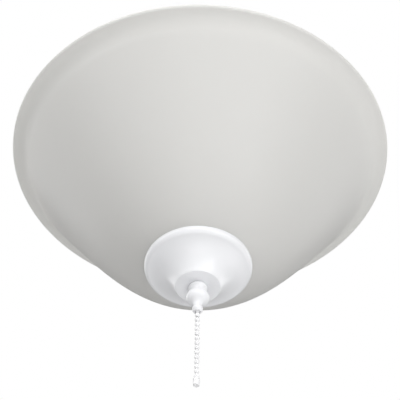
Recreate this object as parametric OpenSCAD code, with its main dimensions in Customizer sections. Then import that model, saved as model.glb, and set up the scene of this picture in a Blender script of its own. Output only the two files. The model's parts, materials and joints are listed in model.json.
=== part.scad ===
// Bowl ceiling light worked by a pull chain: glass bowl, finial, three lamps and the chain switch.
// Origin: centre of the cup's flat top face, where three screws hold it up. +Z up, -Y is the front.

/* [Bowl] */
// Outside diameter of the glass at its lip
bowl_d = 330; // [328:1:336]
// Depth from the lip to the flat bottom of the glass
bowl_depth = 145.4; // [144:0.2:147]
// Thickness of the glass
glass_t = 4; // [3:0.5:4.5]
// Drop from the top face to the lip
lip_drop = 46; // [46:1:48]

/* [Finial] */
// Outside diameter of the finial cap
cap_d = 90.4; // [88:0.2:92]
// Height of the cap from its widest edge to its flat boss
cap_h = 24.2; // [22:0.2:26]
// Thickness of the cap's sheet
cap_t = 1.3; // [1:0.1:1.5]
// Length of the turned knob below the cap
knob_h = 29.4; // [29:0.1:30]

/* [Cup and pan] */
// Outside diameter of the switch cup
cup_d = 102; // [100:1:104]
// Height of the switch cup
cup_h = 52; // [52:1:54]
// Outside diameter of the pan's rolled edge
pan_d = 276; // [268:2:280]
// Thickness of the sheet metal
sheet_t = 1.2; // [1:0.1:1.4]
// Pitch circle of the three top screws
screw_pcd = 76.2; // [74:0.2:78]

/* [Lamps] */
// Radius of a bulb's round envelope
bulb_r = 22; // [19:0.5:22]
// Height of the lamp axes below the top face
lamp_drop = 88; // [87:0.5:89]

/* [Chain] */
// Diameter of one bead
bead_d = 4.2; // [4:0.1:4.3]
// Distance from bead to bead
bead_pitch = 5.3; // [5.2:0.05:5.4]
// Number of beads that hang below the swivel bead
free_beads = 13; // [8:1:30]

/* [Hidden] */
$fn = 64;

// Shared heights, all measured from the top face
lip_z = -lip_drop;
glass_bottom_z = lip_z - bowl_depth;
glass_floor_z = glass_bottom_z + glass_t;
glass_flat_r = 20;
glass_hole_r = 6.5;
hub_z = -cup_h;
pan_low_z = hub_z - 6;
lamp_z = -lamp_drop;
lamp_angles = [90, 210, 330];

// Centre rod, a hollow threaded pipe
rod_r = 4.85;
rod_bore_r = 3.3;
rod_top_z = hub_z + 7.5;
rod_fit = 0.05;

// Finial
cap_edge_z = lip_z - 143.5;
boss_z = cap_edge_z - cap_h;
boss_r = 18.6;
knob_tip_z = boss_z - knob_h;
rod_end_z = boss_z - 9;

// Chain: the swivel bead hangs just below the knob's mouth, the top bead sits inside the plunger
bead_r = bead_d / 2;
neck_r = 0.7;
swivel_gap = 0.15;
swivel_z = knob_tip_z - 3.6;
chain_top_z = -14;
upper_beads = floor((chain_top_z - swivel_z) / bead_pitch);
coupling_r = 2.7;
coupling_len = 8;

// Switch: the rack's pitch line, the gear centre and the box round them
gear_teeth = 12;
gear_module = 1;
gear_r = gear_module * gear_teeth / 2;
gear_x = 4.5 + gear_r;
gear_z = -20;
gear_addendum = 0.8;
rack_addendum = 0.6;
rack_root = 1.05;
tooth_backlash = 0.2;
flank_angle = 20;
plunger_top_z = -8.1;
plunger_bottom_z = -24.5;
box_low = [-9, -12, -38.5];
box_high = [21, 10, -6];
box_wall = 2;
cover_t = 2;
axle_r = 1.5;
disc_r = 7.6;
strap_t = 1.5;
rivet_x = [box_low[0] + 1.8, box_high[0] - 1.8];
rivet_z = [box_low[2] + 1.8, box_high[2] - 1.8];
plunger_half_y = 3.4;

// ---- curves -------------------------------------------------------------------------------

function bez(p, t) = pow(1 - t, 3) * p[0] + 3 * pow(1 - t, 2) * t * p[1]
  + 3 * (1 - t) * t * t * p[2] + pow(t, 3) * p[3];
function curve(p, n) = [for (i = [0:n]) bez(p, i / n)];
function unit(v) = v / norm(v);
function along(pts, i) = unit(pts[min(i + 1, len(pts) - 1)] - pts[max(i - 1, 0)]);
// The same line moved d to the left of the way it runs
function beside(pts, d) = [for (i = [0:len(pts) - 1]) let (t = along(pts, i)) pts[i] + d * [-t[1], t[0]]];
function reversed(pts) = [for (i = [len(pts) - 1:-1:0]) pts[i]];
function arc(c, r, a0, a1, n) = [for (i = [0:n]) let (a = a0 + (a1 - a0) * i / n) c + r * [cos(a), sin(a)]];
function tail(pts, first) = [for (i = [first:len(pts) - 1]) pts[i]];
function head(pts, count) = [for (i = [0:count - 1]) pts[i]];
function lifted(pts, z) = [for (p = pts) [p[0], p[1] + z]];

// A round wire swept along points in space; side is a direction the wire never runs in
module wire(path, r, side = [0.5, 0.3, 0.81], sides = 8) {
  n = len(path);
  rings = [
    for (i = [0:n - 1]) let (t = along(path, i), u = unit(cross(t, side)), v = cross(t, u))
      for (k = [0:sides - 1]) path[i] + r * (cos(360 * k / sides) * u + sin(360 * k / sides) * v)
  ];
  walls = [
    for (i = [0:n - 2]) for (k = [0:sides - 1])
      let (a = i * sides + k, b = i * sides + (k + 1) % sides)
        each [[a, a + sides, b + sides], [a, b + sides, b]]
  ];
  ends = [[for (k = [0:sides - 1]) k], [for (k = [sides - 1:-1:0]) (n - 1) * sides + k]];
  polyhedron(rings, concat(walls, ends));
}

// Cylinder along +X from x0 to x1
module rod_x(r, x0, x1) { translate([x0, 0, 0]) rotate([0, 90, 0]) cylinder(r = r, h = x1 - x0); }

// Cylinder along +Y from y0 to y1
module rod_y(r, y0, y1) { translate([0, y0, 0]) rotate([-90, 0, 0]) cylinder(r = r, h = y1 - y0); }

module ring(r_out, r_in, z0, z1) {
  translate([0, 0, z0]) difference() {
    cylinder(r = r_out, h = z1 - z0);
    translate([0, 0, -1]) cylinder(r = r_in, h = z1 - z0 + 2);
  }
}

// Hexagon nut with both faces chamfered, flats across
module nut(flats, bore_r, z0, z1) {
  corner_r = flats / 2 / cos(30);
  chamfer = 0.8;
  translate([0, 0, z0]) difference() {
    intersection() {
      cylinder(r = corner_r, h = z1 - z0, $fn = 6);
      rotate_extrude() polygon([
        [0, 0], [flats / 2, 0], [corner_r, chamfer], [corner_r, z1 - z0 - chamfer],
        [flats / 2, z1 - z0], [0, z1 - z0]
      ]);
    }
    translate([0, 0, -1]) cylinder(r = bore_r, h = z1 - z0 + 2);
  }
}

// Pan-head screw pointing down, its head's underside at the origin
module screw(shank_r, shank_len, head_r) {
  head_h = head_r * 0.61;
  slot_w = head_r * 0.32;
  point = [[0, -shank_len], [shank_r * 0.5, -shank_len], [shank_r, shank_r - shank_len]];
  crown = arc([head_r * 0.6, head_r * 0.21], head_r * 0.4, 0, 90, 6);
  outline = concat(point, [[shank_r, 0], [head_r, 0]], crown, [[0, head_h]]);
  difference() {
    rotate_extrude() polygon(outline);
    for (a = [0, 90]) rotate(a) translate([-head_r * 0.6, -slot_w / 2, head_h * 0.5])
      cube([head_r * 1.2, slot_w, head_h]);
  }
}

// ---- bowl and finial ----------------------------------------------------------------------

lip_root = [bowl_d / 2 - 16, -14.6];
lip_slope = 57.3;
glass_dome = [
  [glass_flat_r, -bowl_depth], [glass_flat_r + 51.5, -bowl_depth],
  lip_root - 74 * [cos(lip_slope), sin(lip_slope)], lip_root
];
lip_tip = [bowl_d / 2 - 1.7, -glass_t / 2];
glass_lip = [lip_root, lip_root + [3.6, 7.8], lip_tip - [7.8, 1.2], lip_tip];
glass_outside = concat([[glass_hole_r, -bowl_depth]], curve(glass_dome, 26), tail(curve(glass_lip, 10), 1));
glass_inside = beside(glass_outside, glass_t);
lip_round = arc((lip_tip + glass_inside[len(glass_inside) - 1]) / 2, glass_t / 2, -75, 90, 6);

module glass_bowl() {
  color([0.86, 0.855, 0.84]) rotate_extrude()
    polygon(lifted(concat(glass_outside, lip_round, reversed(glass_inside)), lip_z));
}

module glass_washer() {
  color([0.45, 0.3, 0.2]) ring(14, rod_r + 0.25, glass_floor_z, glass_floor_z + 1.5);
}

module bowl_stop_nut() {
  color([0.8, 0.72, 0.45]) nut(15, rod_r, glass_floor_z + 1.5, glass_floor_z + 6.5);
}

// Thin ring that follows the glass where the cap's edge meets it
module rim_gasket() {
  gap = 0.1;
  thick = 0.6;
  seat = [for (p = curve(glass_dome, 60)) if (p[0] > cap_d / 2 - 3.4 && p[0] < cap_d / 2 - 0.2) p];
  color([0.93, 0.93, 0.91]) rotate_extrude()
    polygon(lifted(concat(beside(seat, -gap - thick), reversed(beside(seat, -gap))), lip_z));
}

// The cap's outline runs from the boss up a hollow cove to the round edge
cap_roll_r = 4.5;
cap_roll_from = -80;
cap_roll = arc([cap_d / 2 - cap_roll_r, 0], cap_roll_r, cap_roll_from, 0, 8);
cap_inner_roll = arc([cap_d / 2 - cap_roll_r, 0], cap_roll_r - cap_t, cap_roll_from, 0, 8);
cap_cove = [
  [boss_r + 1, 1.1 - cap_h], [boss_r + 4.9, 10.7 - cap_h],
  cap_roll[0] + 8 * [sin(cap_roll_from), -cos(cap_roll_from)], cap_roll[0]
];
cap_cove_pts = curve(cap_cove, 18);
cap_top_z = 2.1;

module finial_cap() {
  inner_cove = beside(head(tail(cap_cove_pts, 2), 16), cap_t);
  outside = concat(
    [[rod_r + 0.35, -cap_h], [boss_r, -cap_h], [boss_r + 0.7, -cap_h + 0.35]],
    cap_cove_pts, tail(cap_roll, 1), [[cap_d / 2, cap_top_z]]
  );
  inside = concat(
    [[cap_d / 2 - cap_t, cap_top_z]], reversed(cap_inner_roll), reversed(inner_cove),
    [[boss_r - 0.4, cap_t - cap_h], [rod_r + 0.35, cap_t - cap_h]]
  );
  color([0.95, 0.95, 0.96]) rotate_extrude() polygon(lifted(concat(outside, inside), cap_edge_z));
}

// Turned knob: collar, flattened ball, waist, small ball, with the chain's way through it
module finial_knob() {
  collar = concat([[0, 0], [7.3, 0]], arc([5.4, -1.7], 2.6, 38, -50, 7), [[6.2, -5.4]]);
  ball = arc([4.5, -12.7], 5.2, 68, -64, 12);
  waist = [[4.2, -19.4], [3.6, -20.8], [3.5, -22.6]];
  small_ball = arc([1, -26], 3.5, 36, -58, 8);
  outline = concat(collar, ball, waist, small_ball, [[2.6, -knob_h], [0, -knob_h]]);
  color([0.96, 0.96, 0.97]) translate([0, 0, boss_z]) difference() {
    rotate_extrude() polygon(outline);
    translate([0, 0, -9.8]) cylinder(r = rod_r + rod_fit, h = 12);
    translate([0, 0, -knob_h - 1]) cylinder(r = bead_r + 0.25, h = knob_h);
  }
}

// ---- cup, pan and rod ---------------------------------------------------------------------

wire_hole_r = 8.5;
top_hole_r = 2.25;
side_hole_r = 2;
side_screw_z = hub_z + 4.5;

module switch_cup() {
  corner = 8;
  shoulder = arc([cup_d / 2 - corner, -corner], corner, 90, 0, 8);
  path = concat([[wire_hole_r, 0]], shoulder, [[cup_d / 2, -cup_h]]);
  color([0.95, 0.95, 0.94]) difference() {
    rotate_extrude() polygon(concat(path, reversed(beside(path, -sheet_t))));
    for (a = lamp_angles) rotate(a) translate([screw_pcd / 2, 0, -5]) cylinder(r = top_hole_r, h = 10);
    for (a = lamp_angles) rotate(a + 60) translate([0, 0, side_screw_z])
      rod_x(side_hole_r, cup_d / 2 - 4, cup_d / 2 + 4);
  }
}

module wire_grommet() {
  color([0.15, 0.15, 0.15]) {
    ring(wire_hole_r, 6, -sheet_t, 0);
    ring(wire_hole_r + 2.5, 6, -sheet_t - 1.8, -sheet_t);
  }
}

module side_screws() {
  color([0.75, 0.75, 0.75]) for (a = lamp_angles) rotate(a + 60)
    translate([cup_d / 2 + 0.1, 0, side_screw_z]) rotate([0, 90, 0]) screw(1.9, 6, 3.6);
}

collar_r = cup_d / 2 - sheet_t - 0.2;
hub_r = 60;
pan_slope_r = 70;
pan_edge = [pan_d / 2 - 1.4, pan_low_z + 4.6];
bracket_screw_r = 26;
lead_hole_r = 4.6;
lead_hole_at = 36;
vent_at = pan_d / 2 - 22;

module pan() {
  top = [
    [rod_r + 0.15, hub_z], [hub_r, hub_z], [pan_slope_r, pan_low_z], [pan_d / 2 - 12, pan_low_z],
    [pan_d / 2 - 2, pan_low_z + 4.2]
  ];
  color([0.93, 0.93, 0.92]) difference() {
    union() {
      rotate_extrude() polygon(concat(reversed(top), [for (p = top) p - [0, sheet_t]]));
      rotate_extrude() translate(pan_edge) circle(r = 1.4, $fn = 24);
    }
    for (a = lamp_angles) rotate(a) {
      translate([bracket_screw_r, 0, hub_z - 5]) cylinder(r = 2.1, h = 10);
      translate([lead_hole_at, 0, hub_z - 5]) cylinder(r = lead_hole_r, h = 10);
    }
    for (x = strap_feet_x) translate([x, 0, hub_z - 5]) cylinder(r = 1.7, h = 10);
    for (a = [15:30:345]) rotate(a) translate([vent_at, 0, pan_low_z - 3]) cylinder(r = 3, h = 6);
  }
}

// Ring spot-welded to the pan; the cup slips over it and the side screws hold it
module pan_collar() {
  color([0.93, 0.93, 0.92]) difference() {
    ring(collar_r, collar_r - sheet_t, hub_z, hub_z + 8);
    for (a = lamp_angles) rotate(a + 60) translate([0, 0, side_screw_z])
      rod_x(1.95, collar_r - 4, collar_r + 2);
  }
}

module pan_bushings() {
  color([0.2, 0.2, 0.2]) for (a = lamp_angles) rotate(a) translate([lead_hole_at, 0, 0]) {
    ring(lead_hole_r, 3.7, hub_z - sheet_t, hub_z);
    ring(lead_hole_r + 1.2, 3.7, hub_z, hub_z + 1.2);
  }
}

module heat_shield() {
  shield_t = 1.2;
  top = pan_low_z - sheet_t;
  color([0.8, 0.8, 0.8]) ring(pan_d / 2 - 28, pan_slope_r + 4, top - shield_t, top);
}

module centre_rod() {
  color([0.8, 0.75, 0.55]) ring(rod_r, rod_bore_r, rod_end_z, rod_top_z);
}

module toothed_washer() {
  teeth = 12;
  color([0.7, 0.7, 0.7]) difference() {
    union() {
      ring(7.6, rod_r + 0.1, hub_z, hub_z + 0.8);
      for (i = [0:teeth - 1]) rotate(i * 360 / teeth) translate([7.2, -0.9, hub_z]) cube([2, 1.8, 0.8]);
    }
    translate([0, 0, hub_z - 1]) cylinder(r = rod_r + 0.1, h = 3);
  }
}

module rod_top_nut() { color([0.8, 0.72, 0.45]) nut(16, rod_r, hub_z + 0.8, hub_z + 5.4); }

module rod_lower_nut() { color([0.8, 0.72, 0.45]) nut(16, rod_r, hub_z - sheet_t - 5, hub_z - sheet_t); }

// ---- lamps --------------------------------------------------------------------------------

lamp_back = 16;
lamp_mouth = 50;
socket_r = 17;
tab_t = 1.5;

module lamp_place(i) { rotate(lamp_angles[i - 1]) translate([0, 0, lamp_z]) children(); }

module lamp_bracket(i) {
  top = hub_z - sheet_t - lamp_z;
  tab_low = -9;
  color([0.85, 0.85, 0.84]) lamp_place(i) difference() {
    union() {
      translate([lamp_back - tab_t, -8, tab_low]) cube([tab_t, 16, top - tab_low]);
      translate([lamp_back - tab_t, -8, top - tab_t]) cube([16, 16, tab_t]);
      for (y = [-8, 8 - tab_t]) translate([lamp_back - 0.2, y, socket_r + 0.5])
        cube([6, tab_t, top - socket_r - 1]);
    }
    rod_x(2, lamp_back - 3, lamp_back + 2);
    translate([bracket_screw_r, 0, top - 5]) cylinder(r = 2.1, h = 8);
  }
}

// The same screw holds each bracket to the pan and each socket to its bracket
module lamp_screws() {
  color([0.75, 0.75, 0.75]) for (i = [1:3]) {
    rotate(lamp_angles[i - 1]) translate([bracket_screw_r, 0, hub_z]) screw(1.9, 7, 3.2);
    lamp_place(i) translate([lamp_back - tab_t, 0, 0]) rotate([0, -90, 0]) screw(1.9, 7, 3.2);
  }
}

module socket(i) {
  floor_x = lamp_back + 8;
  neck_x = lamp_back + 11;
  color([0.96, 0.95, 0.92]) lamp_place(i) difference() {
    rotate([0, 90, 0]) rotate_extrude() polygon(concat(
      [[0, lamp_back], [12.5, lamp_back]], arc([12.5, lamp_back + 1.5], 1.5, -90, 0, 3),
      [[14, neck_x], [socket_r - 1, neck_x + 2]],
      arc([socket_r - 1, neck_x + 3], 1, -90, 0, 3),
      arc([socket_r - 1.5, lamp_mouth - 1.5], 1.5, 0, 90, 3), [[0, lamp_mouth]]
    ));
    rod_x(13.9, floor_x, lamp_mouth + 1);
    rod_x(1.95, lamp_back - 1, lamp_back + 6);
    for (y = [-6, 6]) translate([0, y, 0]) rod_x(1.4, lamp_back - 1, floor_x + 1);
  }
}

module screw_shell(i) {
  color([0.85, 0.7, 0.35]) lamp_place(i) difference() {
    union() {
      rod_x(13.6, lamp_back + 8.2, lamp_mouth - 1);
      for (x = [lamp_back + 13:3.5:lamp_mouth - 3]) translate([x, 0, 0])
        rotate([0, 90, 0]) rotate_extrude() translate([13.2, 0]) circle(r = 0.6, $fn = 16);
    }
    rod_x(13.1, lamp_back + 8.6, lamp_mouth + 1);
    rod_x(7.5, lamp_back, lamp_mouth + 1);
  }
}

module centre_contact(i) {
  color([0.85, 0.7, 0.35]) lamp_place(i) {
    translate([lamp_back + 8.1, -2.5, -6]) cube([0.5, 5, 12]);
    translate([lamp_back + 8.6, 0, 0]) rod_x(2.2, 0, 0.8);
  }
}

bulb_centre = 92;
base_start = lamp_back + 9.6;
base_end = lamp_mouth + 2;

module bulb(i) {
  wall = 0.8;
  neck_r = 11.5;
  side = [[neck_r, base_end], [neck_r + 1, base_end + 11], [bulb_r - 4, bulb_centre - 22],
    [bulb_r * sin(70), bulb_centre - bulb_r * cos(70)]];
  path = concat(curve(side, 10), [for (a = [80:10:170]) [bulb_r * sin(a), bulb_centre - bulb_r * cos(a)]]);
  inner = beside(path, wall);
  color([0.97, 0.96, 0.93]) lamp_place(i) rotate([0, 90, 0]) rotate_extrude() polygon(concat(
    [[0, base_end], path[0]], tail(path, 1), [[0, bulb_centre + bulb_r], [0, bulb_centre + bulb_r - wall]],
    reversed(tail(inner, 1)), [[0, base_end + wall]]
  ));
}

module bulb_base(i) {
  color([0.8, 0.78, 0.7]) lamp_place(i) {
    difference() {
      union() {
        rod_x(12.1, base_start + 3, base_end);
        for (x = [base_start + 6:3.5:base_end - 3]) translate([x, 0, 0])
          rotate([0, 90, 0]) rotate_extrude() translate([12.1, 0]) circle(r = 0.6, $fn = 16);
      }
      rod_x(11.5, base_start + 3.5, base_end + 1);
    }
    translate([base_start, 0, 0]) rotate([0, 90, 0]) cylinder(r1 = 4.5, r2 = 10, h = 3);
  }
}

// ---- switch -------------------------------------------------------------------------------

strap_feet_x = [-23.5, 35];
strap_x = [-19, 30.5];

module switch_strap() {
  plate_top = box_low[2];
  leg_h = plate_top - hub_z;
  color([0.8, 0.8, 0.78]) difference() {
    union() {
      translate([strap_x[0], -9, plate_top - strap_t]) cube([strap_x[1] - strap_x[0], 18, strap_t]);
      for (x = [strap_x[0], strap_x[1] - strap_t]) translate([x, -7, hub_z]) cube([strap_t, 14, leg_h]);
      translate([strap_x[0] - 9, -7, hub_z]) cube([9.5, 14, strap_t]);
      translate([strap_x[1] - 0.5, -7, hub_z]) cube([9.5, 14, strap_t]);
    }
    translate([0, 0, plate_top - 3]) cylinder(r = bushing_r + 0.1, h = 5);
    for (x = strap_feet_x) translate([x, 0, hub_z - 1]) cylinder(r = 1.7, h = 5);
  }
}

module strap_screws() {
  color([0.75, 0.75, 0.75]) for (x = strap_feet_x) translate([x, 0, hub_z + strap_t]) screw(1.6, 6, 3);
}

module gear_place() { translate([gear_x, 0, gear_z]) children(); }

module switch_housing() {
  inner_low = box_low + [box_wall, box_wall, box_wall];
  inner_size = box_high - box_low - [2 * box_wall, 0, 2 * box_wall];
  guide_rise = 13;
  color([0.12, 0.12, 0.13]) difference() {
    union() {
      difference() {
        translate(box_low) cube(box_high - box_low);
        translate(inner_low) cube(inner_size);
      }
      gear_place() rod_y(3.5, box_low[1] + box_wall - 0.1, -3.8);
      for (y = [-plunger_half_y - 1.3, plunger_half_y + 0.3])
        translate([inner_low[0] + 2.5, y, inner_low[2] + guide_rise])
          cube([6, 1, inner_size[2] - guide_rise]);
      translate([inner_low[0] - 0.1, -4.3, inner_low[2] + 3]) cube([3, 8.6, inner_size[2] - 3]);
      for (x = rivet_x) for (z = rivet_z) translate([x, 0, z]) rod_y(1.75, box_low[1], box_high[1]);
    }
    translate([0, 0, box_low[2] - 1]) cylinder(r = bushing_r + 0.05, h = 4);
    gear_place() rod_y(axle_r, box_low[1] + 1, 0);
    for (x = rivet_x) for (z = rivet_z) translate([x, 0, z]) rod_y(1.05, box_low[1] - 1, box_high[1] + 1);
    contact_slot(1);
    contact_slot(2);
  }
}

module switch_cover() {
  color([0.16, 0.16, 0.17]) difference() {
    translate([box_low[0], box_high[1], box_low[2]])
      cube([box_high[0] - box_low[0], cover_t, box_high[2] - box_low[2]]);
    for (x = rivet_x) for (z = rivet_z) translate([x, 0, z]) rod_y(1.05, 0, box_high[1] + 4);
  }
}

module switch_rivets() {
  color([0.82, 0.75, 0.5]) for (x = rivet_x) for (z = rivet_z) translate([x, 0, z]) {
    rod_y(1, box_low[1], box_high[1] + cover_t);
    translate([0, box_high[1] + cover_t, 0]) rotate([-90, 0, 0]) cylinder(r1 = 2, r2 = 1.4, h = 0.8);
    translate([0, box_low[1], 0]) rotate([90, 0, 0]) cylinder(r1 = 2, r2 = 1.4, h = 0.8);
  }
}

bushing_low_z = rod_top_z + 0.6;
bushing_r = 4.7;
bushing_bore_r = 2.6;
bushing_flange_t = 0.8;

module switch_bushing() {
  seat_z = box_low[2] + box_wall;
  color([0.83, 0.72, 0.42]) {
    ring(bushing_r, bushing_bore_r, bushing_low_z, seat_z);
    ring(bushing_r + 0.6, bushing_bore_r, seat_z, seat_z + bushing_flange_t);
  }
}

module bushing_nut() {
  top = box_low[2] - strap_t;
  color([0.83, 0.72, 0.42]) nut(13, bushing_r, bushing_low_z + 0.3, top);
}

module gear_axle() { color([0.75, 0.75, 0.75]) gear_place() rod_y(axle_r, box_low[1] + 1, box_high[1]); }

// The rack's straight-sided tooth, centred on the pitch line
module rack_tooth(length) {
  half = PI * gear_module / 4 - tooth_backlash / 2;
  lean = tan(flank_angle);
  foot = half + rack_root * lean;
  tip = half - rack_addendum * lean;
  rotate([90, 0, 0]) translate([0, 0, -length / 2]) linear_extrude(length) polygon([
    [-rack_root - 0.2, -foot], [-rack_root, -foot], [rack_addendum, -tip],
    [rack_addendum, tip], [-rack_root, foot], [-rack_root - 0.2, foot]
  ]);
}

module plunger() {
  back_x = -3.8;
  face_x = gear_x - gear_r - rack_root;
  bore_h = chain_top_z + bead_r + 1 - plunger_bottom_z;
  color([0.9, 0.88, 0.8]) difference() {
    union() {
      translate([back_x, -plunger_half_y, plunger_bottom_z])
        cube([face_x - back_x, 2 * plunger_half_y, plunger_top_z - plunger_bottom_z]);
      for (n = [-1:3]) translate([gear_x - gear_r, 0, gear_z + n * PI * gear_module]) rack_tooth(6.4);
    }
    translate([0, 0, plunger_bottom_z - 1]) cylinder(r = bead_r + 0.3, h = bore_h);
  }
}

module return_spring() {
  turns = 4.5;
  steps = 18;
  wire_r = 0.28;
  coil_r = 2.95;
  low = box_low[2] + box_wall + bushing_flange_t + wire_r;
  high = plunger_bottom_z - wire_r;
  count = turns * steps;
  color([0.7, 0.7, 0.72]) wire([
    for (i = [0:count]) let (a = 360 * i / steps, rise = (high - low) * i / count)
      [coil_r * cos(a), coil_r * sin(a), low + rise]
  ], wire_r, [0, 0, 1]);
}

// Involute gear: the tooth's flanks are worked out from its base circle
base_r = gear_r * cos(flank_angle);
function inv(r) = let (a = acos(min(1, base_r / r))) tan(a) * 180 / PI - a;
half_tooth = 90 / gear_teeth - tooth_backlash / 2 / gear_r * 180 / PI + inv(gear_r);
flank_r = [for (i = [0:5]) base_r + (gear_r + gear_addendum - base_r) * i / 5];
gear_root_r = gear_r - 0.95;
function at_angle(r, a) = r * [cos(a), sin(a)];
gear_outline = [
  for (k = [0:gear_teeth - 1]) let (mid = (k + 0.5) * 360 / gear_teeth)
    each concat(
      [at_angle(gear_root_r, mid - half_tooth)],
      [for (r = flank_r) at_angle(r, mid - half_tooth + inv(r))],
      [for (r = reversed(flank_r)) at_angle(r, mid + half_tooth - inv(r))],
      [at_angle(gear_root_r, mid + half_tooth)]
    )
];

module rack_gear() {
  color([0.92, 0.92, 0.88]) gear_place() rotate([90, 0, 0]) translate([0, 0, -3.5]) difference() {
    linear_extrude(7) polygon(gear_outline);
    translate([0, 0, -1]) cylinder(r = axle_r + rod_fit, h = 9);
  }
}

module contact_rotor() {
  color([0.6, 0.2, 0.15]) gear_place() difference() {
    rod_y(disc_r, 3.5, 6.2);
    rod_y(axle_r + rod_fit, 3, 7);
    for (a = [0:90:270]) rotate([0, a, 0]) translate([disc_r, 0, 0]) rod_y(1, 3, 7);
  }
}

module moving_contact() {
  color([0.85, 0.7, 0.35]) gear_place() difference() {
    union() {
      translate([-6.4, 6.2, -1.5]) cube([12.8, 0.8, 3]);
      rod_y(3.4, 6.2, 7);
    }
    rod_y(axle_r + 0.3, 6, 8);
  }
}

contact_y = 7.1;
contact_half_z = 1.6;

// Flat brass strips that leave the box on its two sides
module contact_strip(i, gap) {
  x0 = i == 1 ? box_low[0] - 6 : gear_x + 5.4;
  x1 = i == 1 ? gear_x - 5.4 : box_high[0] + 6;
  translate([x0, contact_y - gap, gear_z - contact_half_z - gap])
    cube([x1 - x0, 0.8 + 2 * gap, 2 * (contact_half_z + gap)]);
}

module contact_slot(i) { contact_strip(i, 0.05); }

module fixed_contact(i) {
  hole_x = i == 1 ? box_low[0] - 4 : box_high[0] + 4;
  color([0.85, 0.7, 0.35]) difference() {
    contact_strip(i, 0);
    translate([hole_x, 0, gear_z]) rod_y(0.7, 6, 9);
  }
}

module detent_spring() {
  leaf_z = -disc_r - 1.9;
  color([0.75, 0.75, 0.72]) gear_place() {
    translate([-3, 3.7, leaf_z - 0.4]) cube([box_high[0] - box_wall - gear_x + 3, 2.3, 0.5]);
    translate([0, 0, leaf_z + 0.8]) rod_y(0.9, 3.7, 6);
  }
}

// ---- wiring held inside the cup -----------------------------------------------------------

lead_r = 0.9;
ring_r = 43.5;
connector_r = 36;
connector_len = 17;
connector_mouth_z = -36;
switched_at = 117;
neutral_at = 148;
// Heights at which the leads run round the cup, a lead's width and a gap apart
function layer(n) = hub_z + 2.6 + 2.3 * n;
function polar(r, a, z) = [r * cos(a), r * sin(a), z];
// Round the cup from one bearing to another
function run(a0, a1, z) =
  let (n = ceil(abs(a1 - a0) / 14)) [for (i = [0:n]) polar(ring_r, a0 + (a1 - a0) * i / n, z)];
// One of a connector's four places: col is -1 or 1 round the cup, row is -1 inside or 1 outside
connector_grid = 1.25;
function place(at, col, row, z) = let (r = connector_r + connector_grid * row, t = connector_grid * col)
  [r * cos(at) - t * sin(at), r * sin(at) + t * cos(at), z];
// From the ring in to a connector's place and up into it
function join(at, col, row, z) = [place(at, col, row, z), place(at, col, row, connector_mouth_z + 3)];
// Every corner cut once, both ends kept
function between(a, b, t) = (1 - t) * a + t * b;
function eased(p) = concat(
  [p[0]],
  [for (i = [0:len(p) - 2]) each [between(p[i], p[i + 1], 0.25), between(p[i], p[i + 1], 0.75)]],
  [p[len(p) - 1]]
);
function lamp_start(i, side) = let (a = lamp_angles[i], t = side * 1.3) [
  for (rz = [[lead_hole_at - 6, lamp_z + socket_r - 1.5], [lead_hole_at - 6, lamp_z + socket_r + 6],
    [lead_hole_at, hub_z - 9], [lead_hole_at, hub_z + 1]])
    [rz[0] * cos(a) - t * sin(a), rz[0] * sin(a) + t * cos(a), rz[1]]
];

// From socket i up through the pan, round the cup at its layer and into a connector
module lamp_lead(i, side, n, at, turn, col, row) {
  start = lamp_start(i, side);
  up = [start[3][0], start[3][1], layer(n)];
  aim = lamp_angles[i] + side * 1.7;
  wire(eased(concat(start, [up], run(aim, aim + turn, layer(n)), join(at, col, row, layer(n)))), lead_r);
}

module lamp_leads() {
  color([0.1, 0.1, 0.1]) {
    lamp_lead(0, -1, 2, switched_at, 28, -1, 1);
    lamp_lead(1, -1, 0, switched_at, -90, 1, 1);
    lamp_lead(2, -1, 0, switched_at, 146, -1, -1);
  }
  color([0.95, 0.95, 0.95]) {
    lamp_lead(0, 1, 3, neutral_at, 55, -1, 1);
    lamp_lead(1, 1, 2, neutral_at, -62, 1, -1);
    lamp_lead(2, 1, 1, neutral_at, 175, -1, -1);
  }
}

plug_low = [22, 20, -34];
plug_size = [14, 9, 16];
plug_pins = [plug_low + [4, 4.5, 0], plug_low + [10, 4.5, 0]];
contact_end_y = contact_y + 0.4;

// Switch to the lamps, supply to the switch, and supply to the neutral connector
module switch_leads() {
  out_1 = [box_low[0] - 6, contact_end_y, gear_z];
  out_2 = [box_high[0] + 6, contact_end_y, gear_z];
  to_lamps = [out_1, out_1 + [-5, 0, 0], out_1 + [-5, 8, -22]];
  from_plug = [plug_pins[1] - [0, 0, 8], plug_pins[1]];
  color([0.1, 0.1, 0.1]) {
    wire(eased(concat(to_lamps, join(switched_at, 1, -1, -43))), lead_r);
    wire(eased(concat([out_2, out_2 + [5, 1, 0], out_2 + [6, 9, -18]], from_plug)), lead_r);
  }
  color([0.95, 0.95, 0.95]) wire(eased(concat(
    reversed(join(neutral_at, 1, 1, layer(4))), run(neutral_at + 2, 44, layer(4)),
    [plug_pins[0] - [0, 0, 6.2], plug_pins[0]]
  )), lead_r);
}

module wire_connectors() {
  color([0.9, 0.5, 0.15]) for (at = [switched_at, neutral_at])
    translate(polar(connector_r, at, connector_mouth_z)) rotate(at) difference() {
      union() {
        cylinder(r1 = 5.2, r2 = 3.6, h = connector_len);
        for (a = [90, 270]) rotate(a) translate([3.5, -0.7, 0]) cube([2.8, 1.4, 8]);
      }
      translate([0, 0, -1]) cylinder(r = 3, h = 8);
    }
}

module harness_plug() {
  color([0.93, 0.92, 0.88]) translate(plug_low) difference() {
    cube(plug_size);
    for (x = [4, 10]) translate([x, 4.5, 8]) cylinder(r = 1.8, h = 10);
  }
}

// ---- chain --------------------------------------------------------------------------------

// Beads counted from the swivel bead, upward when positive, joined by their necks
module beads(first, last) {
  for (k = [first:last]) translate([0, 0, swivel_z + k * bead_pitch]) sphere(r = bead_r, $fn = 24);
  translate([0, 0, swivel_z + first * bead_pitch]) cylinder(r = neck_r, h = (last - first) * bead_pitch);
}

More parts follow.
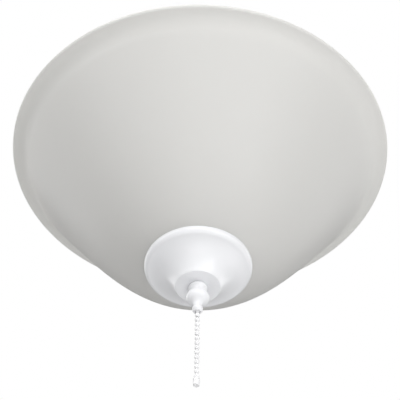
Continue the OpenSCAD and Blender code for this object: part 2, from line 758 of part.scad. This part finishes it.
module upper_chain() {
  stub = bead_pitch - bead_r - swivel_gap;
  color([0.93, 0.93, 0.93]) {
    beads(1, upper_beads);
    translate([0, 0, swivel_z + bead_pitch - stub]) cylinder(r = neck_r, h = stub);
  }
}

module swivel_bead() { color([0.93, 0.93, 0.93]) translate([0, 0, swivel_z]) sphere(r = bead_r, $fn = 24); }

coupling_top = swivel_z - free_beads * bead_pitch - bead_r - 0.2;

module pull_chain() {
  color([0.93, 0.93, 0.93]) {
    beads(-free_beads, -1);
    translate([0, 0, swivel_z - bead_pitch]) cylinder(r = neck_r, h = bead_pitch - bead_r - swivel_gap);
    translate([0, 0, coupling_top]) cylinder(r = neck_r, h = bead_r);
  }
}

// Slotted sleeve that closes over the last bead
module chain_coupling() {
  round_r = 0.9;
  color([0.9, 0.9, 0.9]) translate([0, 0, coupling_top - coupling_len]) rotate_extrude() polygon(concat(
    [[0, 0], [coupling_r - round_r, 0]], arc([coupling_r - round_r, round_r], round_r, -90, 0, 4),
    arc([coupling_r - round_r, coupling_len - round_r], round_r, 0, 90, 4), [[0, coupling_len]]
  ));
}

switch_cup();
wire_grommet();
side_screws();
pan();
pan_collar();
heat_shield();
pan_bushings();
centre_rod();
rod_top_nut();
toothed_washer();
rod_lower_nut();
bowl_stop_nut();
glass_washer();
glass_bowl();
rim_gasket();
finial_cap();
finial_knob();
lamp_bracket(1);  // lamp_bracket_1
lamp_bracket(2);  // lamp_bracket_2
lamp_bracket(3);  // lamp_bracket_3
lamp_screws();
socket(1);  // socket_1
socket(2);  // socket_2
socket(3);  // socket_3
screw_shell(1);  // screw_shell_1
screw_shell(2);  // screw_shell_2
screw_shell(3);  // screw_shell_3
centre_contact(1);  // centre_contact_1
centre_contact(2);  // centre_contact_2
centre_contact(3);  // centre_contact_3
bulb(1);  // bulb_1
bulb(2);  // bulb_2
bulb(3);  // bulb_3
bulb_base(1);  // bulb_base_1
bulb_base(2);  // bulb_base_2
bulb_base(3);  // bulb_base_3
switch_strap();
strap_screws();
switch_housing();
switch_cover();
switch_rivets();
switch_bushing();
bushing_nut();
gear_axle();
detent_spring();
fixed_contact(1);  // fixed_contact_1
fixed_contact(2);  // fixed_contact_2
plunger();
return_spring();
rack_gear();
contact_rotor();
moving_contact();
lamp_leads();
switch_leads();
wire_connectors();
harness_plug();
upper_chain();
swivel_bead();
pull_chain();
chain_coupling();
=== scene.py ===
"""Looks of a bowl ceiling light worked by a pull chain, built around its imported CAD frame."""

import json
import math

import bpy
from mathutils import Matrix, Vector


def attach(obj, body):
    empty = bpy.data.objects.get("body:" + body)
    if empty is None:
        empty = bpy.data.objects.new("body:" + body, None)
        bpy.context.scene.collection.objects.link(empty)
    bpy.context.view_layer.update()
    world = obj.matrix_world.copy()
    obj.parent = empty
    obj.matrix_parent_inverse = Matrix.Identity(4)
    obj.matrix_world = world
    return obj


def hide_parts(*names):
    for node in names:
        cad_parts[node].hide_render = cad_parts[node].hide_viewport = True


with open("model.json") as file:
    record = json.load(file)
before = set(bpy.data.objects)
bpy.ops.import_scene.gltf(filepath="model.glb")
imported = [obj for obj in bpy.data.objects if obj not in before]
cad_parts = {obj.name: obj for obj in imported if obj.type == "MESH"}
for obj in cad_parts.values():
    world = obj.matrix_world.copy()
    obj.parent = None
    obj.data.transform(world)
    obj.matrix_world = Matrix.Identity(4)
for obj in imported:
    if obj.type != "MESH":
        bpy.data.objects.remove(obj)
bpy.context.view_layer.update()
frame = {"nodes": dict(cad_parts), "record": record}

MM = 0.001
SCENE = bpy.context.scene
NODES = frame["nodes"]

# ---- driving sizes, in millimetres, as in the part's source --------------------------------

BOWL_R = 165.0
BOWL_DEPTH = 145.4
GLASS_T = 4.0
LIP_Z = -46.0
GLASS_FLAT_R = 20.0
GLASS_HOLE_R = 6.5
CAP_R = 45.2
CAP_H = 24.2
CAP_T = 1.3
CAP_EDGE_Z = LIP_Z - 143.5
BOSS_R = 18.6
BOSS_Z = CAP_EDGE_Z - CAP_H
KNOB_H = 29.4
KNOB_TIP_Z = BOSS_Z - KNOB_H
ROD_R = 4.85
BEAD_R = 2.1
BEAD_PITCH = 5.3
FREE_BEADS = 13
SWIVEL_Z = KNOB_TIP_Z - 3.6
NECK_R = 0.7
COUPLING_R = 2.7
COUPLING_LEN = 8.0
COUPLING_TOP = SWIVEL_Z - FREE_BEADS * BEAD_PITCH - BEAD_R - 0.2


# ---- outlines ------------------------------------------------------------------------------

def bezier(points, steps):
    """Points along a cubic curve in the plane, ends included."""
    line = []
    for i in range(steps + 1):
        t = i / steps
        weights = ((1 - t) ** 3, 3 * (1 - t) ** 2 * t, 3 * (1 - t) * t * t, t ** 3)
        line.append(tuple(sum(w * p[k] for w, p in zip(weights, points)) for k in (0, 1)))
    return line


def arc(centre, radius, start, end, steps):
    """Points along a round stretch, angles in degrees."""
    angles = [math.radians(start + (end - start) * i / steps) for i in range(steps + 1)]
    return [(centre[0] + radius * math.cos(a), centre[1] + radius * math.sin(a)) for a in angles]


def beside(line, gap):
    """The same line moved to the left of the way it runs."""
    moved = []
    for i, point in enumerate(line):
        after, before = line[min(i + 1, len(line) - 1)], line[max(i - 1, 0)]
        along = (after[0] - before[0], after[1] - before[1])
        length = math.hypot(*along)
        moved.append((point[0] - gap * along[1] / length, point[1] + gap * along[0] / length))
    return moved


def lifted(line, z):
    return [(r, height + z) for r, height in line]


# ---- meshes --------------------------------------------------------------------------------

def piece(name, verts, faces, body, material, slot, stands_for, sharp=40):
    """A mesh piece from points in millimetres, riding on a CAD body in place of some CAD nodes.
    Edges that bend by more than sharp degrees are drawn sharp."""
    mesh = bpy.data.meshes.new(name)
    mesh.from_pydata([(x * MM, y * MM, z * MM) for x, y, z in verts], [], faces)
    mesh.validate()
    mesh.shade_smooth()
    mesh.set_sharp_from_angle(angle=math.radians(sharp))
    mesh.materials.append(material)
    made = bpy.data.objects.new(name, mesh)
    SCENE.collection.objects.link(made)
    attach(made, body)
    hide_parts(*stands_for)
    return made


def turned(outline, steps, closed=True):
    """Points and faces of an outline of (radius, height) turned about the vertical axis.
    An outline that isn't closed has its two ends on the axis or open."""
    verts, rings = [], []
    for r, z in outline:
        if r < 1e-6:
            rings.append([len(verts)] * steps)
            verts.append((0.0, 0.0, z))
        else:
            rings.append(list(range(len(verts), len(verts) + steps)))
            for k in range(steps):
                a = 2 * math.pi * k / steps
                verts.append((r * math.cos(a), r * math.sin(a), z))
    faces = []
    pairs = list(zip(rings, rings[1:] + rings[:1])) if closed else list(zip(rings, rings[1:]))
    for low, high in pairs:
        for k in range(steps):
            n = (k + 1) % steps
            corners = []
            for corner in (low[k], low[n], high[n], high[k]):
                if corner not in corners:
                    corners.append(corner)
            if len(corners) > 2:
                faces.append(corners)
    return verts, faces


def joined(*parts):
    """Several (points, faces) as one."""
    verts, faces = [], []
    for more_verts, more_faces in parts:
        start = len(verts)
        verts += more_verts
        faces += [[start + i for i in face] for face in more_faces]
    return verts, faces


# ---- finishes ------------------------------------------------------------------------------

def add(tree, kind, **values):
    """A node with some of its inputs or properties set."""
    node = tree.nodes.new(kind)
    for key, value in values.items():
        if key in node.inputs:
            node.inputs[key].default_value = value
        else:
            setattr(node, key, value)
    return node


def noise(tree, scale, detail):
    """A noise texture in the object's own metres; scale is in features per metre."""
    place = add(tree, "ShaderNodeTexCoord")
    pattern = add(tree, "ShaderNodeTexNoise", Scale=scale, Detail=detail)
    tree.links.new(place.outputs["Object"], pattern.inputs["Vector"])
    return pattern


def finish(name, colour, rough, bump, mottle, blotch=25.0, metal=0.0, coat=0.0, coat_rough=0.1,
           passing=0.0):
    """A procedural finish: colour that darkens by up to mottle in blotches (so many per metre),
    roughness from one number to another, and a bump of (features per metre, depth in metres).
    Passing is the share of light let through."""
    made = bpy.data.materials.new(name)
    made.use_nodes = True
    tree = made.node_tree
    shader = tree.nodes["Principled BSDF"]
    shader.inputs["Metallic"].default_value = metal
    shader.inputs["IOR"].default_value = 1.5
    shader.inputs["Coat Weight"].default_value = coat
    shader.inputs["Coat Roughness"].default_value = coat_rough
    cloud = noise(tree, blotch, 4.0)
    blend = add(tree, "ShaderNodeMix", data_type="RGBA")
    darker = tuple(c * (1 - mottle) for c in colour)
    blend.inputs["A"].default_value = (*darker, 1.0)
    blend.inputs["B"].default_value = (*colour, 1.0)
    tree.links.new(cloud.outputs["Fac"], blend.inputs["Factor"])
    tree.links.new(blend.outputs["Result"], shader.inputs["Base Color"])
    wear = noise(tree, blotch * 6, 3.0)
    spread = add(tree, "ShaderNodeMapRange")
    spread.inputs["From Min"].default_value = 0.3
    spread.inputs["From Max"].default_value = 0.7
    spread.inputs["To Min"].default_value = rough[0]
    spread.inputs["To Max"].default_value = rough[1]
    tree.links.new(wear.outputs["Fac"], spread.inputs["Value"])
    tree.links.new(spread.outputs["Result"], shader.inputs["Roughness"])
    grain = noise(tree, bump[0], 2.0)
    relief = add(tree, "ShaderNodeBump", Strength=1.0, Distance=bump[1])
    tree.links.new(grain.outputs["Fac"], relief.inputs["Height"])
    tree.links.new(relief.outputs["Normal"], shader.inputs["Normal"])
    if passing:
        let_through(tree, shader, blend, relief, passing)
    return made


def let_through(tree, shader, colour, relief, share):
    """Mixes a translucent share of the same colour into a finish."""
    through = add(tree, "ShaderNodeBsdfTranslucent")
    both = add(tree, "ShaderNodeMixShader")
    both.inputs[0].default_value = share
    tree.links.new(colour.outputs["Result"], through.inputs["Color"])
    tree.links.new(relief.outputs["Normal"], through.inputs["Normal"])
    tree.links.new(shader.outputs["BSDF"], both.inputs[1])
    tree.links.new(through.outputs["BSDF"], both.inputs[2])
    tree.links.new(both.outputs[0], tree.nodes["Material Output"].inputs["Surface"])


FROSTED = finish("frosted_glass", (0.86, 0.855, 0.835), (0.5, 0.6), (2600, 0.00001), mottle=0.02, blotch=9,
                 coat=0.35, coat_rough=0.42, passing=0.3)
FINIAL = finish("finial_paint", (0.91, 0.915, 0.935), (0.3, 0.36), (700, 0.000006), mottle=0.01, coat=0.3)
CHAIN = finish("chain_paint", (0.93, 0.93, 0.94), (0.25, 0.38), (1500, 0.00001), mottle=0.03, coat=0.3)
ENAMEL = finish("white_enamel", (0.83, 0.83, 0.82), (0.28, 0.4), (600, 0.00003), mottle=0.03, coat=0.25)
RUBBER = finish("black_rubber", (0.03, 0.03, 0.032), (0.6, 0.8), (1800, 0.00008), mottle=0.3)
ZINC = finish("zinc_steel", (0.66, 0.67, 0.70), (0.22, 0.42), (900, 0.00002), mottle=0.12, metal=1.0,
              blotch=120)
FOIL = finish("foil", (0.85, 0.85, 0.86), (0.18, 0.36), (160, 0.0004), mottle=0.08, metal=1.0, blotch=60)
BRASS = finish("brass", (0.78, 0.58, 0.27), (0.2, 0.38), (900, 0.00003), mottle=0.14, metal=1.0, blotch=90)
FIBRE = finish("fibre", (0.36, 0.2, 0.12), (0.7, 0.85), (1400, 0.0001), mottle=0.35, blotch=400)
GASKET = finish("gasket", (0.8, 0.8, 0.78), (0.5, 0.65), (1500, 0.00005), mottle=0.05)
PORCELAIN = finish("porcelain", (0.86, 0.84, 0.79), (0.08, 0.2), (250, 0.00004), mottle=0.04, coat=0.6)
BULB = finish("bulb_glass", (0.9, 0.89, 0.86), (0.3, 0.42), (3000, 0.00002), mottle=0.02)
BULB_CAP = finish("bulb_cap", (0.72, 0.7, 0.65), (0.25, 0.4), (900, 0.00003), mottle=0.1, metal=1.0,
                  blotch=90)
PHENOLIC = finish("switch_black", (0.025, 0.024, 0.026), (0.3, 0.5), (1100, 0.00004), mottle=0.3)
NYLON = finish("nylon", (0.78, 0.76, 0.68), (0.4, 0.55), (1200, 0.00003), mottle=0.05)
ROTOR = finish("rotor_red", (0.4, 0.07, 0.045), (0.4, 0.55), (1200, 0.00003), mottle=0.2)
LEAD = finish("lead_insulation", (0.025, 0.025, 0.027), (0.3, 0.45), (1500, 0.00003), mottle=0.2)
ORANGE = finish("connector_orange", (0.8, 0.26, 0.04), (0.3, 0.45), (1000, 0.00004), mottle=0.1)
PLUG = finish("plug_white", (0.82, 0.8, 0.74), (0.35, 0.5), (1000, 0.00003), mottle=0.05)

# ---- camera --------------------------------------------------------------------------------

VIEW_DISTANCE = 2.0
VIEW_BELOW = 49.55
VIEW_ROLL = 0.9
VIEW_AIM = Vector((0.0006, 0, -0.105))
LENS_MM = 204
RIM_CENTRE = Vector((0, 0, LIP_Z * MM))


def add_camera():
    """A long lens in front of the lamp and well below it, looking up."""
    low = math.radians(VIEW_BELOW)
    lens = bpy.data.cameras.new("camera")
    lens.sensor_width = 36
    lens.lens = LENS_MM
    lens.clip_end = 60
    camera = bpy.data.objects.new("camera", lens)
    camera.location = RIM_CENTRE + VIEW_DISTANCE * Vector((0, -math.cos(low), -math.sin(low)))
    towards = VIEW_AIM - camera.location
    turn = towards.to_track_quat("-Z", "Y").to_matrix() @ Matrix.Rotation(math.radians(VIEW_ROLL), 3, "Z")
    camera.rotation_euler = turn.to_euler()
    SCENE.collection.objects.link(camera)
    SCENE.camera = camera


add_camera()

# ---- chain ---------------------------------------------------------------------------------

BEAD_MOUTH = 24  # degrees from the pole to where the shell turns in
BEAD_INSIDE = BEAD_R * 0.8  # how far from a bead's middle its neck wires begin
SWIVEL_GAP = 0.15


def bead(z):
    """One hollow bead: a round shell that turns in at both poles round its neck wire."""
    shell = arc((0, 0), BEAD_R, -90 + BEAD_MOUTH, 90 - BEAD_MOUTH, 20)
    rim_r = BEAD_R * math.sin(math.radians(BEAD_MOUTH))
    rim_z = BEAD_R * math.cos(math.radians(BEAD_MOUTH))
    top = [(rim_r - 0.12, rim_z - 0.03), (NECK_R, rim_z - 0.22)]
    low = [(r, -height) for r, height in reversed(top)]
    return turned(lifted(low + shell + top, z), 28, closed=False)


def neck(z_low, z_high):
    """The short wire between two beads, a little thinner at its middle."""
    r = NECK_R
    waist = (z_low + z_high) / 2
    outline = [(r, z_low), (r * 0.86, z_low + 0.35 * (waist - z_low)), (r * 0.8, waist)]
    outline += [(r * 0.86, z_high - 0.35 * (z_high - waist)), (r, z_high)]
    return turned(outline, 16, closed=False)


def hanging_chain():
    """The beads below the swivel bead, lowest first, with the necks between and beyond them."""
    heights = [SWIVEL_Z - k * BEAD_PITCH for k in range(FREE_BEADS, 0, -1)]
    necks = [neck(low + BEAD_INSIDE, high - BEAD_INSIDE) for low, high in zip(heights, heights[1:])]
    to_swivel = neck(heights[-1] + BEAD_INSIDE, SWIVEL_Z - BEAD_R - SWIVEL_GAP)
    to_coupling = neck(COUPLING_TOP - 0.3, heights[0] - BEAD_INSIDE)
    links = joined(*[bead(z) for z in heights], *necks, to_swivel, to_coupling)
    return piece("hanging_chain", *links, "hanging_chain", CHAIN, "chain_white", ["pull_chain"], sharp=60)


def coupling():
    """Sleeve with rounded ends, open at the top for the last bead and closed at the bottom."""
    r, edge, lip = COUPLING_R, 0.9, 0.35
    mouth_r = NECK_R + 0.15
    outline = [(0, 0.12)] + arc((0.9, 0.9), 0.9, -120, -90, 3) + arc((r - edge, edge), edge, -90, 0, 8)
    outline += arc((r - edge, COUPLING_LEN - edge), edge, 0, 90, 8)
    outline += arc((mouth_r + lip, COUPLING_LEN - lip), lip, 90, 180, 4)
    outline += [(mouth_r, COUPLING_LEN - 1.2), (0, COUPLING_LEN - 1.2)]
    shape = turned(lifted(outline, COUPLING_TOP - COUPLING_LEN), 40, closed=False)
    return piece("end_coupling", *shape, "hanging_chain", CHAIN, "coupling_white", ["chain_coupling"])


cord = hanging_chain()
end_piece = coupling()
swivel = piece("swivel_bead_shell", *bead(SWIVEL_Z), "swivel", CHAIN, "chain_white", ["swivel_bead"],
               sharp=60)

# ---- bowl and finial -----------------------------------------------------------------------

LIP_ROOT = (BOWL_R - 16, -14.6)
LIP_SLOPE = math.radians(57.3)
LIP_TIP = (BOWL_R - 1.7, -GLASS_T / 2)
DOME_LOW_HANDLE = 51.5
DOME_TOP_HANDLE = 74


def glass_bowl():
    """Dome and flared lip as one smooth line, its inside a glass thickness away."""
    top_handle = (
        LIP_ROOT[0] - DOME_TOP_HANDLE * math.cos(LIP_SLOPE),
        LIP_ROOT[1] - DOME_TOP_HANDLE * math.sin(LIP_SLOPE),
    )
    low_handle = (GLASS_FLAT_R + DOME_LOW_HANDLE, -BOWL_DEPTH)
    dome = bezier([(GLASS_FLAT_R, -BOWL_DEPTH), low_handle, top_handle, LIP_ROOT], 72)
    lip = bezier([
        LIP_ROOT, (LIP_ROOT[0] + 3.6, LIP_ROOT[1] + 7.8), (LIP_TIP[0] - 7.8, LIP_TIP[1] - 1.2), LIP_TIP,
    ], 20)
    edge_r = 0.6
    outside = arc((GLASS_HOLE_R + edge_r, edge_r - BOWL_DEPTH), edge_r, 180, 270, 4) + dome + lip[1:]
    inside = beside([(GLASS_HOLE_R, -BOWL_DEPTH)] + dome + lip[1:], GLASS_T)
    middle = ((LIP_TIP[0] + inside[-1][0]) / 2, (LIP_TIP[1] + inside[-1][1]) / 2)
    rim = arc(middle, GLASS_T / 2, -75, 90, 12)
    shape = turned(lifted(outside + rim + inside[::-1], LIP_Z), 256)
    return piece("bowl", *shape, "glass_assembly", FROSTED, "frosted_glass", ["glass_bowl"])


def finial_cap():
    """Pressed dish: flat boss, cove and rolled edge."""
    roll_r = 4.5
    roll_from = -80
    roll_handle = 8
    roll = arc((CAP_R - roll_r, 0), roll_r, roll_from, 0, 20)
    inner_roll = arc((CAP_R - roll_r, 0), roll_r - CAP_T, roll_from, 0, 20)
    slope = math.radians(roll_from)
    handle = (roll[0][0] + roll_handle * math.sin(slope), roll[0][1] - roll_handle * math.cos(slope))
    cove = bezier([(BOSS_R + 1, 1.1 - CAP_H), (BOSS_R + 4.9, 10.7 - CAP_H), handle, roll[0]], 48)
    inner_cove = beside(cove[4:-2], CAP_T)
    top_z = 2.1
    bore_r = ROD_R + 0.35
    edge_r = 0.4
    outside = [(bore_r, 0.3 - CAP_H), (bore_r + 0.3, -CAP_H)]
    outside += arc((BOSS_R - edge_r + 0.3, edge_r - CAP_H), edge_r, -90, -20, 5) + cove + roll[1:]
    outside += [(CAP_R, top_z - 0.5)] + arc((CAP_R - CAP_T / 2, top_z - CAP_T / 2), CAP_T / 2, 0, 180, 8)
    inside = inner_roll[::-1] + inner_cove[::-1] + [(BOSS_R - 0.4, CAP_T - CAP_H), (bore_r, CAP_T - CAP_H)]
    shape = turned(lifted(outside + inside, CAP_EDGE_Z), 192)
    return piece("cap", *shape, "glass_assembly", FINIAL, "finial_white", ["finial_cap"], sharp=50)


def finial_knob():
    """Turned knob: collar, flattened ball, waist and small ball, drilled for the chain."""
    mouth_r = BEAD_R + 0.25
    socket_r = ROD_R + 0.05
    socket_z = -9.8
    outline = [(socket_r, 0), (7.3, 0)] + arc((5.4, -1.7), 2.6, 38, -50, 14) + [(6.45, -4.65), (6.2, -5.4)]
    outline += [(6.15, -6.6)] + arc((4.5, -12.7), 5.2, 68, -64, 32) + [(5.2, -18.4), (4.2, -19.4)]
    outline += [(3.75, -20.2), (3.55, -21.2), (3.5, -22.4), (3.6, -23.2)]
    outline += arc((1, -26), 3.5, 36, -50, 16) + arc((mouth_r + 0.35, 0.3 - KNOB_H), 0.3, -70, -180, 5)
    outline += [(mouth_r, socket_z), (socket_r, socket_z)]
    shape = turned(lifted(outline, BOSS_Z), 96)
    return piece("knob", *shape, "finial", FINIAL, "finial_white", ["finial_knob"], sharp=55)


glass_bowl()
finial_cap()
finial_knob()

# ---- finishes of the CAD nodes that stay ---------------------------------------------------

KEPT = {
    "white_enamel": ENAMEL, "black_rubber": RUBBER, "zinc_steel": ZINC, "foil": FOIL, "brass": BRASS,
    "fibre": FIBRE, "gasket": GASKET, "porcelain": PORCELAIN, "bulb_glass": BULB, "bulb_cap": BULB_CAP,
    "switch_black": PHENOLIC, "nylon": NYLON, "rotor_red": ROTOR, "lead_insulation": LEAD,
    "connector_orange": ORANGE, "plug_white": PLUG, "chain_white": CHAIN, "finial_white": FINIAL,
    "coupling_white": CHAIN, "frosted_glass": FROSTED,
}


def dress_cad_nodes():
    """Gives every CAD node the finish of its material slot."""
    for row in frame["record"]["subparts"]:
        mesh = NODES[row["node"]].data
        mesh.materials.clear()
        mesh.materials.append(KEPT[row["material_slot"]])


dress_cad_nodes()

# ---- stage and light -----------------------------------------------------------------------

FLOOR_Z = -2.4
FLOOR_HALF = 15
FLOOR_LIFT = 0.42


def add_floor():
    """A plain pale floor well below the lamp, a little brighter to the eye than what it gives back."""
    mesh = bpy.data.meshes.new("floor")
    half = FLOOR_HALF
    corners = ((-half, -half), (half, -half), (half, half), (-half, half))
    mesh.from_pydata([(x, y, FLOOR_Z) for x, y in corners], [], [(0, 1, 2, 3)])
    pale = bpy.data.materials.new("floor")
    pale.use_nodes = True
    shader = pale.node_tree.nodes["Principled BSDF"]
    shader.inputs["Base Color"].default_value = (0.86, 0.86, 0.86, 1)
    shader.inputs["Roughness"].default_value = 0.8
    shader.inputs["Emission Color"].default_value = (1, 1, 1, 1)
    ray = add(pale.node_tree, "ShaderNodeLightPath")
    lift = add(pale.node_tree, "ShaderNodeMath", operation="MULTIPLY")
    lift.inputs[1].default_value = FLOOR_LIFT
    pale.node_tree.links.new(ray.outputs["Is Camera Ray"], lift.inputs[0])
    pale.node_tree.links.new(lift.outputs[0], shader.inputs["Emission Strength"])
    mesh.materials.append(pale)
    floor = bpy.data.objects.new("floor", mesh)
    SCENE.collection.objects.link(floor)


# Softboxes round the lamp: bearing from the front, height above the lamp (degrees), power (watts)
SOFTBOXES = {
    "above": (0, 60, 24),
    "key": (40, -15, 20),
    "front": (0, 20, 15),
    "front_low": (0, -15, 6),
    "left_front": (300, 20, 16),
    "left_back": (240, 20, 11),
    "right_back": (120, 20, 9),
    "right_low": (120, -45, 7),
    "below": (0, -65, 9),
}
SOFTBOX_DISTANCE = 2.4
SOFTBOX_SIZE = 1.6
SURROUND_SEEN = 1.0
SURROUND_FELT = 0.35
LAMP_CENTRE = Vector((0, 0, -0.12))


def add_softbox(name, bearing, height, watts):
    """A square soft light that faces the lamp."""
    turn, rise = math.radians(bearing), math.radians(height)
    towards = Vector((math.sin(turn) * math.cos(rise), -math.cos(turn) * math.cos(rise), math.sin(rise)))
    light = bpy.data.lights.new(name, "AREA")
    light.size = SOFTBOX_SIZE
    light.energy = watts
    box = bpy.data.objects.new(name, light)
    box.location = LAMP_CENTRE + SOFTBOX_DISTANCE * towards
    box.rotation_euler = towards.to_track_quat("Z", "Y").to_euler()
    box.visible_camera = False
    SCENE.collection.objects.link(box)


def add_world(seen, felt):
    """An even white surround: seen is how bright the camera finds it, felt what it gives the lamp."""
    world = bpy.data.worlds.new("surround")
    world.use_nodes = True
    tree = world.node_tree
    tree.nodes.clear()
    ray = add(tree, "ShaderNodeLightPath")
    shown = add(tree, "ShaderNodeBackground", Strength=seen)
    lights = add(tree, "ShaderNodeBackground", Strength=felt)
    pick = add(tree, "ShaderNodeMixShader")
    out = add(tree, "ShaderNodeOutputWorld")
    tree.links.new(ray.outputs["Is Camera Ray"], pick.inputs[0])
    tree.links.new(lights.outputs[0], pick.inputs[1])
    tree.links.new(shown.outputs[0], pick.inputs[2])
    tree.links.new(pick.outputs[0], out.inputs["Surface"])
    shown.inputs["Color"].default_value = (1, 1, 1, 1)
    lights.inputs["Color"].default_value = (1, 1, 1, 1)
    SCENE.world = world


add_floor()
for box_name, box_place in SOFTBOXES.items():
    add_softbox(box_name, *box_place)
add_world(SURROUND_SEEN, SURROUND_FELT)
SCENE.view_settings.view_transform = "Standard"
